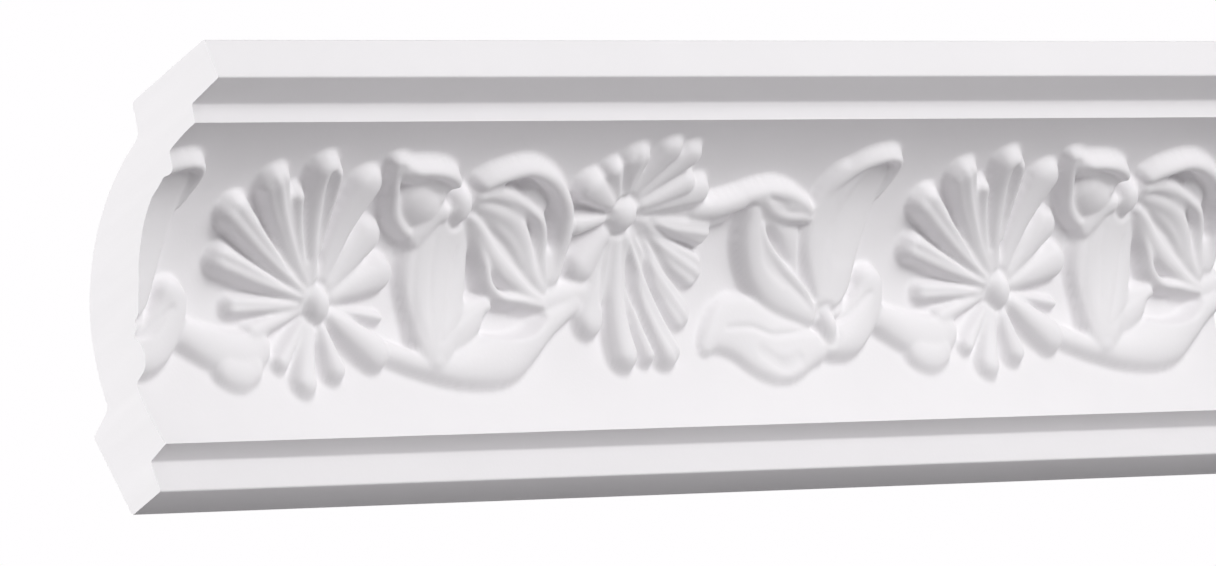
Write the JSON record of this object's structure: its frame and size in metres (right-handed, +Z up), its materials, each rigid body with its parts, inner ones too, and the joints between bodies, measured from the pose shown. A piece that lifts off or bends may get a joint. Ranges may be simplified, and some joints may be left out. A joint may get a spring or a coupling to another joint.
{
  "type": "cornice moulding",
  "caption": "Cove cornice moulding for the angle of wall and ceiling, with a band of daisies and lilies in relief, cut square at both ends.",
  "frame": {"origin": "middle of the flat face that is fixed against the wall", "axes": "+X along the length, +Y into the wall, +Z up to the ceiling; the room is on -Y"},
  "size_m": [0.5, 0.0947, 0.0951],
  "materials": {
    "moulding": "matt white primer on dense foam"
  },
  "bodies": {
    "root": {"cornice_moulding": "moulding"}
  },
  "joints": []
}
